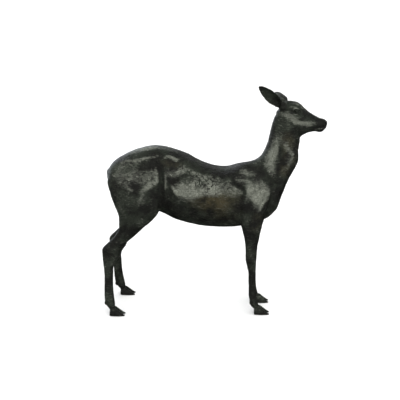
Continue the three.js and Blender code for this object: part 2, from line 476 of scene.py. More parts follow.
    def toe(self, x: float, off: float, side: Side, stride: float) -> Loft:
        """Shapes one toe of a cloven hoof, high at the instep and low at its point.

        Args:
            x: where its heel is.
            off: how far its middle is from the centre plane.
            side: the foot's side.
            stride: how far the foot is moved ahead.

        Returns:
            The toe.
        """
        length, height = self.toe_length, self.toe_height
        rings = (
            tip(x + 2, 12, off),
            Ring(x + 6, 0.9 * height, x + 4, -2, off, 9, 0.2),
            Ring(x + 0.36 * length, 1.0 * height, x + 0.3 * length, -6, off, 10.4, 0.2),
            Ring(x + 0.62 * length, 0.62 * height, x + 0.58 * length, -6, off, 9.6, 0.2),
            Ring(x + 0.85 * length, 0.26 * height, x + 0.82 * length, -5, off, 7),
            tip(x + length, 2, off),
        )
        return Loft(rings, around=24, per_span=5, side=side, stride=stride)

    def dewclaw(self, x: float, z: float, off: float, side: Side, stride: float) -> Loft:
        """Shapes one of the two blunt claws that hang behind a fetlock.

        Args:
            x: where its back is.
            z: the height of its middle.
            off: how far it is from the centre plane.
            side: the foot's side.
            stride: how far the foot is moved ahead.

        Returns:
            The claw.
        """
        rings = (
            tip(x + 10, z + 24, off),
            Ring(x + 15, z + 10, x, z + 8, off, 7),
            Ring(x + 16, z - 3, x, z - 3, off, 7, 0, 2.6),
            tip(x + 8, z - 9, off),
        )
        return Loft(rings, around=20, per_span=5, side=side, stride=stride)

    def lofts(self) -> list[Loft]:
        """Collects every limb of the doe but the ears.

        Returns:
            The limbs, which overlap where they meet.
        """
        made = [
            Loft(self.trunk, around=96, per_span=10),
            Loft(self.head, around=72, per_span=10),
            Loft(self.tail, around=24, per_span=6),
        ]
        for side in BOTH:
            stride = side.value * self.hind_stride
            made.append(Loft(self.hind_leg, around=56, per_span=8, side=side, stride=stride))
            made.append(Loft(self.fore_leg, around=48, per_span=8, side=side))
            made.append(self.ear_root(side))
            for spread in (-self.toe_spread, self.toe_spread):
                for foot, ahead in ((self.fore_foot, 0.0), (self.hind_foot, stride)):
                    made.append(self.toe(foot.heel, foot.heel_off + spread, side, ahead))
                    made.append(self.dewclaw(foot.claw_x, foot.claw_z, foot.claw_off + spread, side, ahead))
        return made


@dataclass(frozen=True)
class Ear:
    """A leaf-shaped ear, hollowed towards its opening, in millimetres.

    swell below 1 moves its widest place towards the root. The powers make its outline, its rim and
    its wall fuller than a plain sine wave does, and trough_lead below 1 deepens it near the root.
    """

    root: tuple[float, float, float]
    end: tuple[float, float, float]
    opening: tuple[float, float, float]
    swell: float = 0.9
    half_width: float = 24.5
    trough: float = 17.0
    wall: float = 6.0
    outline_power: float = 0.62
    rim_power: float = 0.6
    wall_power: float = 0.35
    trough_lead: float = 0.6
    rows: int = 40
    around: int = 40

    def build(self, shell: bmesh.types.BMesh) -> None:
        """Adds the ear to a shell.

        Args:
            shell: the mesh that gets the ear, in metres.
        """
        root, end = Vector(self.root), Vector(self.end)
        span = end - root
        out = Vector(self.opening)
        out = (out - out.project(span)).normalized()
        across = span.cross(out).normalized()
        made = bmesh.ops.create_uvsphere(shell, u_segments=self.around, v_segments=self.rows, radius=1.0)
        for vertex in made["verts"]:
            t = math.acos(max(-1.0, min(1.0, vertex.co.z))) / math.pi
            angle = math.atan2(vertex.co.y, vertex.co.x)
            blade = math.sin(math.pi * t**self.swell) ** self.outline_power if 0 < t < 1 else 0.0
            half = self.half_width * blade
            trough = self.trough * math.sin(math.pi * t**self.trough_lead) * math.sin(angle) ** 2
            thick = math.copysign(abs(math.sin(angle)) ** self.rim_power, math.sin(angle))
            wall = 0.5 * self.wall * max(math.sin(math.pi * t), 0.0) ** self.wall_power * thick
            vertex.co = (root + span * t + across * half * math.cos(angle) + out * (wall - trough)) * MM
        bmesh.ops.recalc_face_normals(shell, faces=list({f for v in made["verts"] for f in v.link_faces}))


EARS = (
    Ear((285, -22, 925), (179, -66, 1026), (0.2, -1, -0.2), swell=1.0),
    Ear((291, 20, 930), (255, 122, 965), (0.3, 0.4, -1), swell=0.68, half_width=26.0),
)

HEAD_STROKES = (
    Stroke(((292, 932), (312, 939), (338, 940), (358, 928)), 9, 4.2),  # brow ridge
    Stroke(((320, 917), (338, 917), (356, 911)), 16, -8.0),  # eye socket
    Stroke(((320, 919), (328, 928), (342, 928), (355, 917)), 6, 4.4),  # upper eyelid
    Stroke(((321, 913), (332, 906), (345, 906), (358, 911)), 5, 3.2),  # lower eyelid
    Stroke(((300, 926), (312, 921)), 6, -2.0),  # hollow behind the eye
    Stroke(((354, 910), (368, 899), (386, 888)), 8, -3.0),  # hollow before the eye
    Stroke(((366, 888), (340, 888), (306, 896)), 13, 3.2),  # cheekbone
    Stroke(((322, 856),), 34, 3.0),  # cheek
    Stroke(((336, 874), (366, 869), (404, 865)), 13, 3.6),  # upper jaw
    Stroke(((366, 903), (400, 884), (432, 870)), 8, -2.4),  # groove beside the bridge of the nose
    Stroke(((346, 842), (380, 840), (404, 840)), 11, -3.0),  # hollow over the lower jaw
    Stroke(((472, 853), (450, 849), (430, 845), (404, 843)), 4.5, -4.4),  # mouth
    Stroke(((454, 840), (430, 836), (412, 835)), 6, 1.8),  # lower lip
    Stroke(((457, 863),), 6.5, -5.0),  # nostril
    Stroke(((444, 871), (462, 869)), 5, 2.0),  # rim of the nostril
)

BODY_STROKES = (
    # croup ridge
    Stroke(((-391, 691), (-371, 703), (-317, 706), (-283, 716), (-244, 725), (-219, 726)), 11, 3.2),
    Stroke(((-202, 723), (-179, 723), (-157, 712), (-123, 710), (-98, 695)), 13, 2.4),  # loin ridge
    Stroke(((-262, 690), (-214, 698), (-160, 690)), 20, -2.4),  # hollow under the hip
    Stroke(((-206, 652), (-164, 656), (-130, 672), (-108, 700)), 24, 3.4),  # muscle under the loin
    Stroke(((-203, 645), (-198, 620), (-204, 584)), 15, 1.8),  # fold before the thigh
    Stroke(((-175, 607), (-164, 586), (-152, 566)), 14, 2.0),  # flank fold
    Stroke(((-120, 650), (-146, 630), (-152, 590)), 13, -3.5),  # flank hollow
    Stroke(((-103, 684), (-90, 662), (-66, 660)), 17, 2.0),  # upper end of the last ribs
    Stroke(((-102, 580),), 46, 6.0),  # round of the last ribs
    Stroke(((-62, 574), (0, 576), (66, 574), (100, 574)), 26, 3.0),  # swell along the ribs
    Stroke(((96, 664), (130, 660), (167, 648)), 15, 2.4),  # withers
    Stroke(((84, 637), (116, 631), (150, 626)), 12, 3.2),  # rear edge of the shoulder blade
    # groove behind the shoulder
    Stroke(((81, 630), (98, 610), (123, 597), (133, 577), (124, 552)), 12, -7.0),
    Stroke(((124, 556), (119, 500), (117, 440)), 14, -6.0),  # groove behind the elbow
    Stroke(((172, 606), (200, 600), (190, 552)), 40, 7.0),  # shoulder
    Stroke(((232, 577), (220, 548), (204, 520), (197, 494)), 8, 1.6),  # front edge of the upper arm
    Stroke(((222, 592), (210, 556), (196, 524)), 5, -2.2),  # groove beside that edge
    Stroke(((254, 610), (246, 556), (230, 495), (214, 452)), 12, -7.0),  # groove before the shoulder
    Stroke(((260, 800), (257, 760), (248, 720), (254, 690), (248, 655)), 26, 4.0),  # side of the neck
    Stroke(((290, 782), (318, 745), (322, 715), (300, 670)), 15, 2.6),  # throat ridge
    Stroke(((276, 776), (278, 730), (286, 690), (270, 650)), 9, -3.0),  # groove beside the throat
    Stroke(((202, 662), (227, 632), (262, 600)), 20, -5.0),  # hollow at the root of the neck
    Stroke(((210, 645), (227, 621), (240, 608)), 5, 1.6),  # ridge in that hollow
)

HIND_STROKES = (
    # groove before the thigh
    Stroke(((-222, 702), (-226, 685), (-218, 644), (-219, 585), (-219, 525), (-230, 488)), 21, -7.5),
    Stroke(((-361, 668), (-316, 663), (-268, 662)), 26, -2.2),  # hollow under the croup ridge
    Stroke(((-247, 674), (-238, 650), (-234, 620), (-243, 588)), 20, 2.6),  # front edge of the thigh
    Stroke(((-327, 636), (-287, 630), (-256, 642)), 36, 2.6),  # upper thigh
    Stroke(((-234, 622), (-266, 598), (-300, 572)), 22, 2.0),  # slanting band of the thigh
    Stroke(((-300, 572), (-328, 583), (-356, 594)), 16, 1.4),  # rear arm of that band
    Stroke(((-330, 566),), 22, -3.0),  # hollow under the band
    Stroke(((-380, 622),), 40, 3.6),  # buttock
    Stroke(((-324, 536), (-301, 548), (-290, 520)), 20, 3.0),  # lower thigh
    Stroke(((-404, 580), (-392, 520)), 26, 3.0),  # back of the thigh
    Stroke(((-246, 506),), 30, 4.0),  # stifle
    Stroke(((-318, 430),), 34, 3.5),  # gaskin
    Stroke(((-366, 440), (-382, 396), (-412, 352)), 11, -5.0),  # hollow before the heel tendon
    Stroke(((-446, 296),), 22, 2.2),  # hock
    Stroke(((-428, 286), (-446, 250), (-450, 160), (-448, 100)), 6, -1.8),  # groove before the shank tendon
)

FORE_STROKES = (
    Stroke(((140, 560),), 30, 3.0),  # muscle over the elbow
    Stroke(((180, 520), (168, 480), (166, 440)), 13, -3.0),  # groove of the forearm
    Stroke(((190, 430), (184, 390)), 24, 2.6),  # forearm
    Stroke(((168, 262),), 22, 2.4),  # knee
    Stroke(((158, 240), (166, 160), (170, 104)), 6, -1.8),  # groove before the shank tendon
)

# Painted highlights: the raised forms, ridges and edges that catch the light, painted paler into the patina.
PAINTED_HIGHLIGHTS = (
    # croup ridge
    Stroke(((-391, 688), (-371, 700), (-317, 706), (-283, 716), (-244, 724), (-219, 726)), 12, 0.5),
    Stroke(((-202, 723), (-179, 722), (-157, 712), (-123, 710), (-98, 695)), 12, 0.75),  # loin ridge
    Stroke(((-385, 676), (-330, 686)), 34, 0.22, fade=False),  # under the croup ridge
    Stroke(((-388, 634), (-370, 618)), 46, 0.42, fade=False),  # buttock
    Stroke(((-332, 640), (-290, 632), (-253, 646)), 44, 0.55, fade=False),  # upper thigh
    Stroke(((-241, 676), (-238, 650), (-236, 620)), 15, 0.55),  # front edge of the thigh
    Stroke(((-236, 622), (-266, 602), (-298, 584)), 20, 0.7),  # slanting band of the thigh
    Stroke(((-372, 602), (-350, 588), (-330, 576)), 15, 0.45),  # rear arm of that band
    Stroke(((-304, 562), (-308, 530)), 34, 0.32, fade=False),  # lower thigh
    Stroke(((-204, 655), (-164, 656), (-131, 672), (-108, 698)), 25, 0.72),  # muscle under the loin
    Stroke(((-203, 645), (-199, 618), (-204, 588)), 11, 0.6),  # fold before the thigh
    Stroke(((-175, 610), (-164, 588), (-152, 566)), 10, 0.7),  # flank fold
    Stroke(((-100, 692), (-85, 672), (-62, 664)), 19, 0.6),  # upper end of the last ribs
    Stroke(((-126, 588), (-103, 578), (-84, 588)), 54, 1.15, fade=False),  # round of the last ribs
    Stroke(((-76, 592), (-40, 592), (0, 590)), 42, 0.55, fade=False),  # rear of the rib band
    Stroke(((-10, 600), (50, 596), (98, 592)), 44, 0.5, fade=False),  # front of the rib band
    Stroke(((-92, 636), (-20, 646), (50, 640)), 38, 0.55),  # upper ribs
    Stroke(((92, 662), (130, 660), (172, 650)), 25, 0.55),  # withers
    Stroke(((84, 637), (116, 632), (150, 624)), 16, 0.5),  # rear edge of the shoulder blade
    Stroke(((154, 600), (192, 612), (216, 594)), 40, 0.55, fade=False),  # upper shoulder
    Stroke(((158, 572), (206, 566)), 46, 0.55, fade=False),  # middle of the shoulder
    Stroke(((186, 550), (192, 524)), 38, 0.5, fade=False),  # lower shoulder
    Stroke(((232, 575), (220, 548), (202, 520), (196, 498)), 9, 0.5),  # front edge of the upper arm
    Stroke(((262, 800), (248, 750), (236, 705), (240, 660)), 34, 0.8),  # side of the neck
    Stroke(((290, 800), (304, 768), (322, 738), (318, 706), (296, 664)), 30, 0.42),  # front of the neck
    Stroke(((287, 788), (302, 765), (327, 738), (324, 710), (302, 670)), 11, 0.25),  # throat ridge
    Stroke(((284, 908), (306, 898), (330, 882)), 24, 0.5, fade=False),  # cheekbone
    Stroke(((332, 872), (366, 866), (408, 862)), 17, 0.85),  # upper jaw
    Stroke(((412, 846), (434, 842), (452, 845)), 5, 0.5),  # lip
    Stroke(((299, 934), (318, 936), (334, 933)), 7, 0.5),  # brow
    Stroke(((321, 922), (329, 928), (342, 928), (354, 919)), 5, 1.2),  # upper eyelid
    Stroke(((324, 909), (333, 905), (346, 906)), 4, 0.7),  # lower eyelid
    Stroke(((262, 948), (240, 962), (222, 974)), 11, 0.45),  # inside of the ear
    Stroke(((330, 950), (348, 946), (360, 936), (372, 924), (386, 910)), 8, 1.0),  # crown and forehead
    # top edge of the croup and loin
    Stroke(
        ((-415, 697), (-372, 722), (-332, 736), (-288, 748), (-244, 754), (-190, 746), (-142, 730)),
        11, 1.0,
    ),
    Stroke(((250, 640), (252, 585), (236, 520)), 10, 0.3),  # edge of the breast
    Stroke(((-318, 430), (-300, 452)), 24, 0.22, fade=False),  # gaskin
)

WARM_GLOWS = (
    Stroke(((-66, 545), (0, 542), (76, 552)), 64, 1.1),  # lower ribs
    Stroke(((0, 490), (70, 480)), 70, 0.35),  # belly
    Stroke(((-140, 690), (-214, 700)), 24, 0.35),  # hollow under the hip
    Stroke(((306, 800), (316, 740), (300, 670)), 44, 0.5, fade=False),  # front of the neck
    Stroke(((190, 470), (180, 420)), 34, 0.3, fade=False),  # forearm
)

SCRATCHES = (
    Stroke(((-110, 640), (-40, 640), (40, 632)), 70, 1.0),  # upper ribs
    Stroke(((-20, 600), (80, 600)), 44, 0.5, fade=False),  # rib band
    Stroke(((-150, 690), (-100, 660), (-70, 690)), 40, 0.6, fade=False),  # loin
    Stroke(((-330, 600), (-270, 620)), 60, 0.6, fade=False),  # thigh
    Stroke(((250, 780), (230, 690)), 40, 0.35, fade=False),  # neck
    Stroke(((150, 650), (100, 650)), 34, 0.5, fade=False),  # shoulder blade
)

# Painted shade: the grooves, hollows, sockets and the dark band along the back, painted darker into the
# patina.
PAINTED_SHADE = (
    # groove before the thigh
    Stroke(((-224, 712), (-218, 644), (-219, 585), (-219, 500)), 17, 0.6, fade=False),
    Stroke(((-262, 690), (-214, 698), (-160, 690)), 20, 0.7),  # hollow under the hip
    Stroke(((81, 630), (98, 610), (123, 597), (133, 577), (124, 552)), 13, 0.6),  # groove behind the shoulder
    # groove before the shoulder
    Stroke(((254, 610), (246, 556), (230, 495), (214, 452)), 13, 0.4, fade=False),
    # hollow at the root of the neck
    Stroke(((202, 662), (227, 632), (262, 600), (300, 600)), 24, 0.5, fade=False),
    Stroke(((326, 917), (344, 916)), 15, 0.8, fade=False),  # eye socket
    Stroke(((352, 914), (366, 904), (388, 892)), 16, 0.7, fade=False),  # hollow before the eye
    Stroke(((312, 944), (336, 938), (346, 930)), 7, 0.4, fade=False),  # over the brow
    Stroke(((284, 930), (240, 980), (196, 1016)), 30, 0.5, fade=False),  # ear
    Stroke(((300, 942), (280, 930)), 18, 0.4, fade=False),  # root of the ear
    Stroke(((-300, 470), (-360, 430)), 60, 0.2, fade=False),  # gaskin
    Stroke(((-120, 716), (-41, 680), (40, 664), (84, 670)), 36, 1.2, fade=False),  # saddle of the back
    # under the top edge of the croup
    Stroke(((-380, 712), (-300, 728), (-220, 740), (-150, 726)), 14, 0.35, fade=False),
    Stroke(((276, 776), (280, 730), (290, 690)), 13, 0.4),  # groove beside the throat
    Stroke(((466, 853), (430, 850), (402, 847)), 8, 0.6, fade=False),  # mouth
    Stroke(((450, 872), (470, 866)), 14, 0.5, fade=False),  # nose
    Stroke(((-330, 570), (-318, 552)), 18, 0.3, fade=False),  # hollow of the thigh
)


@dataclass(frozen=True)
class Lumps:
    """The small unevenness of a hand-modelled surface.

    scale is how many lumps there are to a metre along each axis. Each layer has a fineness and a
    strength. Below full_above, in metres, the lumps get lower, down to the share least.
    """

    scale: tuple[float, float, float] = (34, 34, 52)
    layers: tuple[tuple[float, float], ...] = ((1.0, 1.0), (2.3, 0.55), (5.1, 0.3))
    height: float = 0.9
    full_above: float = 0.3
    least: float = 0.25

    def at(self, point: np.ndarray) -> float:
        """How far a place stands out, as a number round 0."""
        place = Vector([along * scale for along, scale in zip(point, self.scale)])
        return sum(strength * noise.noise(place * fineness) for fineness, strength in self.layers)


@dataclass
class BronzeDeer:
    """The whole casting, as one skin.

    Lengths are in metres, but for the eyes, which are in millimetres as the forms are. The feet
    and the ears are thin, so they are smoothed apart: they take the share first_share in the first
    smoothing and the share still in the body's. The ears take ear_share in the later ones.
    """

    forms: DeerForms = field(default_factory=DeerForms)
    lumps: Lumps = field(default_factory=Lumps)
    voxel: float = 0.0024
    crease_rounds: int = 120
    triangle_limit: int = 185_000
    eye_centre: tuple[float, float, float] = (338, 29.5, 917)
    eye_radius: float = 10.5
    eye_around: int = 32
    eye_rows: int = 20
    foot_top: float = 0.06
    foot_blend: float = 0.05
    ear_above: float = 0.945
    head_ahead: float = 0.2
    head_above: float = 0.9
    ear_aside: float = 0.045
    still: float = 0.03
    still_below: float = 0.1
    first_share: float = 0.8
    ear_share: float = 0.9
    bend_rounds: int = 3
    base_tone: float = 0.14
    edge_tone: float = 0.1
    edge_bend: float = 0.2
    base_scratches: float = 0.25

    def shell(self) -> bpy.types.Object:
        """Builds the limbs as overlapping closed forms.

        Returns:
            One object with all of them.
        """
        shell = bmesh.new()
        for loft in self.forms.lofts():
            loft.build(shell)
        for ear in EARS:
            ear.build(shell)
        bmesh.ops.translate(shell, verts=shell.verts, vec=(CENTRE_SHIFT * MM, 0, 0))
        mesh = bpy.data.meshes.new("deer_forms")
        shell.to_mesh(mesh)
        shell.free()
        forms = bpy.data.objects.new("deer_forms", mesh)
        bpy.context.collection.objects.link(forms)
        return forms

    def fused(self, forms: bpy.types.Object) -> bpy.types.Mesh:
        """Fuses the overlapping forms into one skin.

        Args:
            forms: the object with the forms, which is removed.

        Returns:
            The mesh of the skin.
        """
        remesh = forms.modifiers.new("fuse", "REMESH")
        remesh.mode = "VOXEL"
        remesh.voxel_size = self.voxel
        ready = forms.evaluated_get(bpy.context.evaluated_depsgraph_get())
        mesh = bpy.data.meshes.new_from_object(ready)
        bpy.data.objects.remove(forms, do_unlink=True)
        return mesh

    def modelled(self, mesh: bpy.types.Mesh) -> Clay:
        """Smooths and tools the skin.

        Args:
            mesh: the fused skin.

        Returns:
            The finished clay.
        """
        clay = Clay(mesh)
        ahead, aside, height = (clay.points[:, axis : axis + 1] for axis in range(3))
        on_head = (ahead > self.head_ahead) & (height > self.head_above)
        ears = (height > self.ear_above) | (on_head & (np.abs(aside) > self.ear_aside))
        body = np.clip((height - self.foot_top) / self.foot_blend, self.still, 1.0)
        body = np.where(ears, self.still, body)
        thin = np.where(ears, self.ear_share, body)
        clay.soften(rounds=6, weight=np.where(body < self.still_below, self.first_share, 1.0))
        clay.fill_creases(rounds=self.crease_rounds, weight=body)
        clay.soften(rounds=8, weight=thin)
        clay.tool(BODY_STROKES + HIND_STROKES + FORE_STROKES)
        clay.soften(rounds=10, weight=thin)
        clay.tool(HEAD_STROKES)
        clay.soften(rounds=2, weight=body)
        clay.soften(rounds=20, weight=ears.astype(float))
        self.roughen(clay)
        return clay

    def roughen(self, clay: Clay) -> None:
        """Gives the skin its lumps, and keeps the soles on the ground.

        Args:
            clay: the smoothed skin.
        """
        lumps = np.array([self.lumps.at(point) for point in clay.points])
        quiet = np.clip(clay.points[:, 2] / self.lumps.full_above, self.lumps.least, 1.0)
        clay.points += clay.normals * (lumps * quiet * self.lumps.height * MM)[:, None]
        clay.points[:, 2] = np.clip(clay.points[:, 2], 0.0, None)
        clay.refresh()

    def thinned(self, mesh: bpy.types.Mesh) -> bpy.types.Mesh:
        """Merges faces where the skin is even, down to the limit.

        Args:
            mesh: the finished skin.

        Returns:
            The lighter mesh.
        """
        mesh.calc_loop_triangles()
        heavy = bpy.data.objects.new("deer_heavy", mesh)
        bpy.context.collection.objects.link(heavy)
        thin = heavy.modifiers.new("thin", "DECIMATE")
        thin.ratio = min(1.0, self.triangle_limit / len(mesh.loop_triangles))
        log.info("skin of %d triangles, thinned by %.2f", len(mesh.loop_triangles), thin.ratio)
        ready = heavy.evaluated_get(bpy.context.evaluated_depsgraph_get())
        light = bpy.data.meshes.new_from_object(ready)
        bpy.data.objects.remove(heavy, do_unlink=True)
        self.drop_crumbs(light)
        return light

    def drop_crumbs(self, mesh: bpy.types.Mesh) -> None:
        """Removes the loose crumbs that fusing leaves, and keeps the largest connected skin.

        Args:
            mesh: the skin, changed in place.
        """
        skin = bmesh.new()
        skin.from_mesh(mesh)
        left = set(skin.verts)
        islands = []
        while left:
            front = {left.pop()}
            island = set(front)
            while front:
                front = {edge.other_vert(vertex) for vertex in front for edge in vertex.link_edges} & left
                left -= front
                island |= front
            islands.append(island)
        islands.sort(key=len)
        crumbs = [vertex for island in islands[:-1] for vertex in island]
        log.info("%d loose crumbs removed, %d points", len(islands) - 1, len(crumbs))
        bmesh.ops.delete(skin, geom=crumbs, context="VERTS")
        skin.to_mesh(mesh)
        skin.free()

    def painted_light_and_wear(self, mesh: bpy.types.Mesh) -> None:
        """Stores how pale, how warm and how scratched the patina is at each point, from 0 to 1.

        Args:
            mesh: the thinned skin.
        """
        clay = Clay(mesh)
        tone = np.full(len(clay.points), self.base_tone)
        # Painted highlights make the patina paler where the raised forms catch the light.
        for highlight in PAINTED_HIGHLIGHTS:
            for side in highlight.sides:
                tone += highlight.height * clay.nearness(highlight, side)
        # Painted shade makes the patina darker in the grooves and hollows.
        for shade in PAINTED_SHADE:
            for side in shade.sides:
                tone -= shade.height * clay.nearness(shade, side)
        bend = ((clay.points - clay.mean(clay.points)) * clay.normals).sum(axis=1, keepdims=True)
        for _ in range(self.bend_rounds):
            bend = clay.mean(bend)
        tone += np.clip(bend[:, 0] / (self.edge_bend * MM), -1, 1) * self.edge_tone
        # Stored as painted highlight and painted shade together with the paler ridges and darker hollows of
        # the bends.
        self.store(mesh, "painted_light_and_wear", tone)
        painted = (("warmth", 0.0, WARM_GLOWS), ("scratches", self.base_scratches, SCRATCHES))
        for name, start, areas in painted:
            amount = np.full(len(clay.points), start)
            for area in areas:
                for side in area.sides:
                    amount += area.height * clay.nearness(area, side)
            self.store(mesh, name, amount)

    def store(self, mesh: bpy.types.Mesh, name: str, values: np.ndarray) -> None:
        """Keeps one number from 0 to 1 for each point of a mesh, under a name."""
        layer = mesh.attributes.new(name, "FLOAT", "POINT")
        layer.data.foreach_set("value", np.clip(values, 0, 1))

    def add_eyes(self, skin: bmesh.types.BMesh) -> None:
        """Sets an eyeball in each socket.

        Args:
            skin: the mesh that gets the eyeballs.
        """
        x, y, z = self.eye_centre
        size = {"u_segments": self.eye_around, "v_segments": self.eye_rows, "radius": self.eye_radius * MM}
        for side in BOTH:
            ball = bmesh.ops.create_uvsphere(skin, **size)
            place = Vector(((x + CENTRE_SHIFT) * MM, side.value * y * MM, z * MM))
            bmesh.ops.translate(skin, verts=ball["verts"], vec=place)

    def build(self) -> bpy.types.Object:
        """Makes the finished casting with its eyes.

        Returns:
            The casting, at the origin and without a material.
        """
        clay = self.modelled(self.fused(self.shell()))
        light = self.thinned(clay.mesh)
        self.painted_light_and_wear(light)
        skin = bmesh.new()
        skin.from_mesh(light)
        self.add_eyes(skin)
        for face in skin.faces:
            face.smooth = True
        mesh = bpy.data.meshes.new("bronze_casting")
        skin.to_mesh(mesh)
        skin.free()
        casting = bpy.data.objects.new("bronze_casting", mesh)
        bpy.context.collection.objects.link(casting)
        return casting


class NodeBoard:
    """A node tree with short ways to add and join its nodes."""

    def __init__(self, tree: bpy.types.NodeTree) -> None:
        """Takes hold of a tree and empties it."""
        self.tree = tree
        tree.nodes.clear()

    def add(self, kind: str, **settings: object) -> bpy.types.Node:
        """Adds a node.

        Args:
            kind: the node's type name.
            settings: properties of the node, or values of its inputs by their names with _ for a space.

        Returns:
            The new node.
        """
        node = self.tree.nodes.new(kind)
        for name, value in settings.items():
            if hasattr(node, name):
                setattr(node, name, value)
            else:
                node.inputs[name.replace("_", " ")].default_value = value
        return node

    def join(self, source: Socket, target: Socket) -> None:
        """Links an output to an input."""
        self.tree.links.new(source, target)

    def feed(self, target: Socket, value: Socket | float | Colour) -> None:
        """Gives an input its value, through a link where the value is another node's output.

        Args:
            target: the input.
            value: an output, a number or a colour.
        """
        if isinstance(value, Socket):
            self.join(value, target)
        else:
            target.default_value = value

    def math(self, operation: str, *values: Socket | float) -> Socket:
        """Adds a Math node.

        Args:
            operation: the node's operation.
            values: its inputs in their order, as outputs or numbers.

        Returns:
            Its result.
        """
        node = self.add("ShaderNodeMath", operation=operation)
        for target, value in zip(node.inputs, values):
            self.feed(target, value)
        return node.outputs[0]

    def blend(self, factor: Socket, one: Socket | Colour, two: Socket | Colour) -> Socket:
        """Adds a Mix node for colours.

        Args:
            factor: how much of the second colour there is.
            one: the first colour.
            two: the second colour.

        Returns:
            The mixed colour.
        """
        node = self.add("ShaderNodeMix", data_type="RGBA")
        factor_input, one_input, two_input = (node.inputs[i] for i in (0, 6, 7))
        self.join(factor, factor_input)
        self.feed(one_input, one)
        self.feed(two_input, two)
        return node.outputs[2]

    def span(self, value: Socket, low: float, high: float) -> Socket:
        """Stretches a value with soft ends.

        Args:
            value: the value.
            low: what becomes 0.
            high: what becomes 1.

        Returns:
            The stretched value.
        """
        node = self.add("ShaderNodeMapRange", interpolation_type="SMOOTHSTEP")
        self.join(value, node.inputs[0])
        node.inputs[1].default_value = low
        node.inputs[2].default_value = high
        return node.outputs[0]


